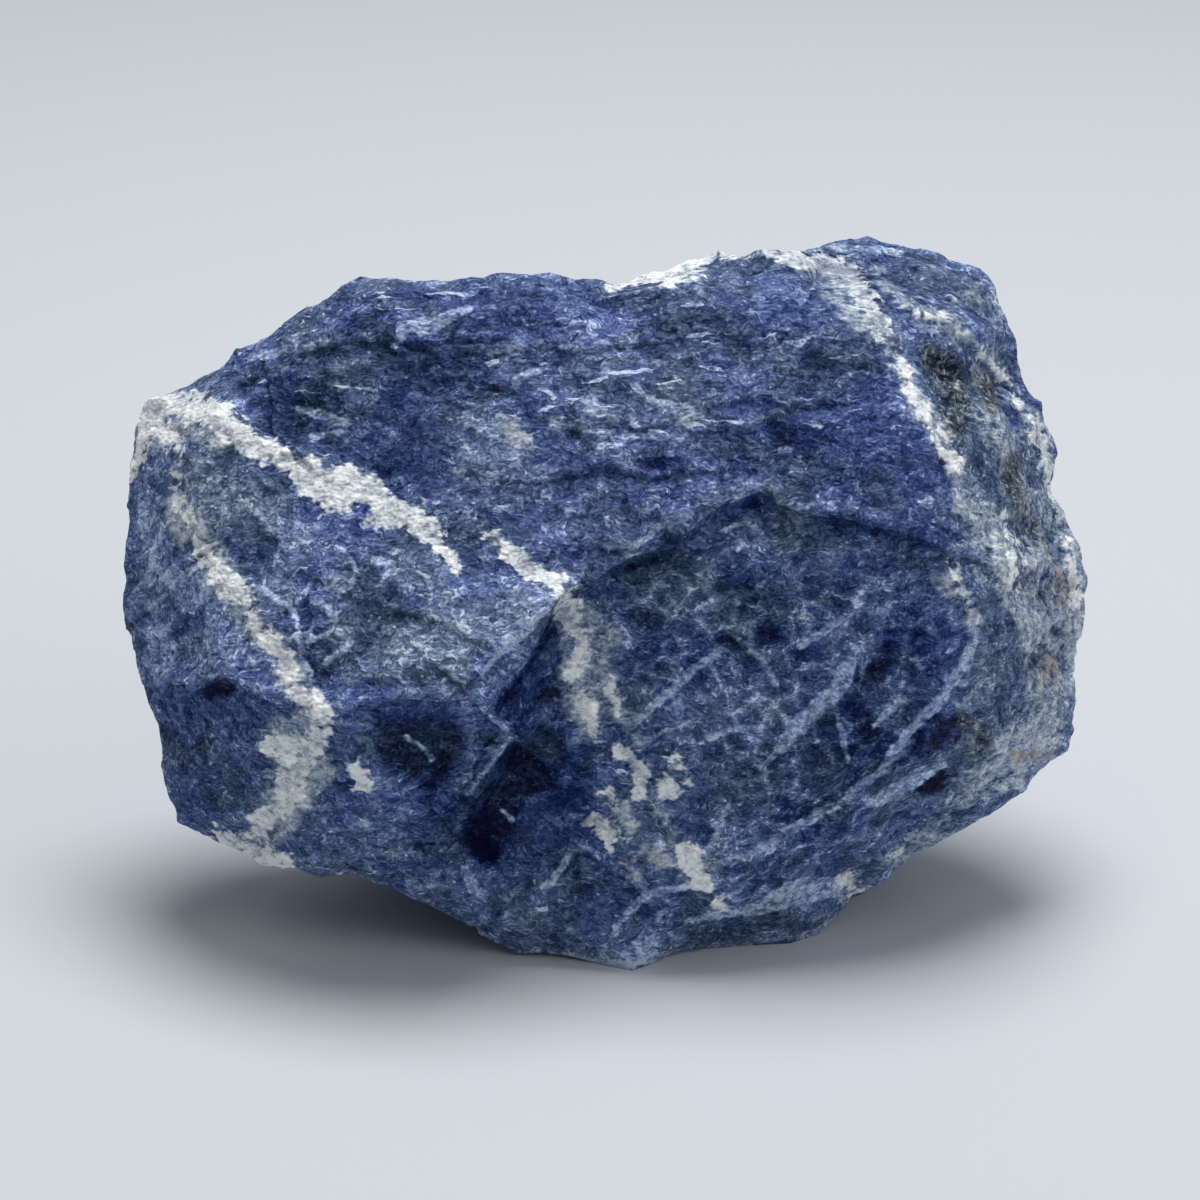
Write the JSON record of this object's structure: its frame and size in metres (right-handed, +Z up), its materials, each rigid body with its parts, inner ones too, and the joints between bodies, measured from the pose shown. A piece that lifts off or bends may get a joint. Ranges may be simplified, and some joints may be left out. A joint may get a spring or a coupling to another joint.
{
  "type": "rough stone specimen",
  "caption": "Rough broken lump of blue sodalite crossed by cream veins, with one weathered side, standing on a small flat spot.",
  "frame": {"origin": "on the small flat spot the stone rests on, below the middle of its broad face", "axes": "+Z up, +X to the right along the stone's long side, -Y toward the broad face, which leans back 22 degrees"},
  "size_m": [0.062, 0.0339, 0.0415],
  "materials": {
    "sodalite": "rough broken mineral"
  },
  "bodies": {
    "root": {"sodalite": "sodalite"}
  },
  "joints": []
}
